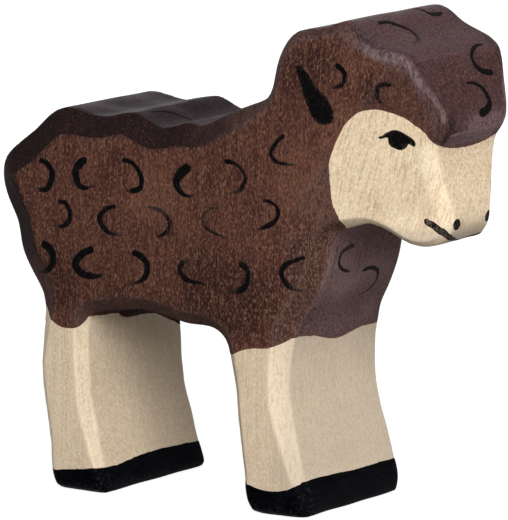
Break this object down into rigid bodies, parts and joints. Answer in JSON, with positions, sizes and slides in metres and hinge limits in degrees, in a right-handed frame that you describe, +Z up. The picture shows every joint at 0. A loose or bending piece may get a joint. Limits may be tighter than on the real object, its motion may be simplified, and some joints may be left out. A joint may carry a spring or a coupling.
{
  "type": "wooden lamb figure",
  "caption": "Free-standing wooden lamb sawn from one thick board, with pared cheeks, a dark stained fleece, bare face and legs, and painted hooves, ears, eyes and fleece curls.",
  "frame": {"origin": "on the surface that the lamb stands on, under the middle of its length and thickness", "axes": "+X towards the nose, +Y towards the lamb's left flank through the board's thickness, +Z up"},
  "size_m": [0.0714, 0.0266, 0.0691],
  "materials": {
    "bare_wood": "bare pale maple, sanded, fine vertical grain with short darker flecks, satin",
    "fleece_stain": "dark brown stain that lets the vertical grain show, satin, darker and cooler on the sawn walls",
    "black_paint": "black paint laid on by brush, satin on the hooves and matt on the marks"
  },
  "bodies": {
    "root": {"carved_body": "bare_wood", "fleece_stain": "fleece_stain", "hind_hoof_paint": "black_paint", "front_hoof_paint": "black_paint", "mouth_mark": "black_paint", "ear_mark_right": "black_paint", "eye_mark_right": "black_paint", "nostril_mark_right": "black_paint", "flank_curl_right_1": "black_paint", "flank_curl_right_2": "black_paint", "flank_curl_right_3": "black_paint", "flank_curl_right_4": "black_paint", "flank_curl_right_5": "black_paint", "flank_curl_right_6": "black_paint", "flank_curl_right_7": "black_paint", "flank_curl_right_8": "black_paint", "flank_curl_right_9": "black_paint", "flank_curl_right_10": "black_paint", "flank_curl_right_11": "black_paint", "flank_curl_right_12": "black_paint", "flank_curl_right_13": "black_paint", "flank_curl_right_14": "black_paint", "flank_curl_right_15": "black_paint", "flank_curl_right_16": "black_paint", "flank_curl_right_17": "black_paint", "temple_curl_right_1": "black_paint", "temple_curl_right_2": "black_paint", "ear_mark_left": "black_paint", "eye_mark_left": "black_paint", "nostril_mark_left": "black_paint", "flank_curl_left_1": "black_paint", "flank_curl_left_2": "black_paint", "flank_curl_left_3": "black_paint", "flank_curl_left_4": "black_paint", "flank_curl_left_5": "black_paint", "flank_curl_left_6": "black_paint", "flank_curl_left_7": "black_paint", "flank_curl_left_8": "black_paint", "flank_curl_left_9": "black_paint", "flank_curl_left_10": "black_paint", "flank_curl_left_11": "black_paint", "flank_curl_left_12": "black_paint", "flank_curl_left_13": "black_paint", "flank_curl_left_14": "black_paint", "flank_curl_left_15": "black_paint", "flank_curl_left_16": "black_paint", "flank_curl_left_17": "black_paint", "temple_curl_left_1": "black_paint", "temple_curl_left_2": "black_paint", "crown_curl_1": "black_paint", "crown_curl_2": "black_paint", "forehead_curl_1": "black_paint", "forehead_curl_2": "black_paint", "chest_curl_1": "black_paint", "chest_curl_2": "black_paint", "back_curl_1": "black_paint", "rump_curl_1": "black_paint", "rump_curl_2": "black_paint"}
  },
  "joints": []
}
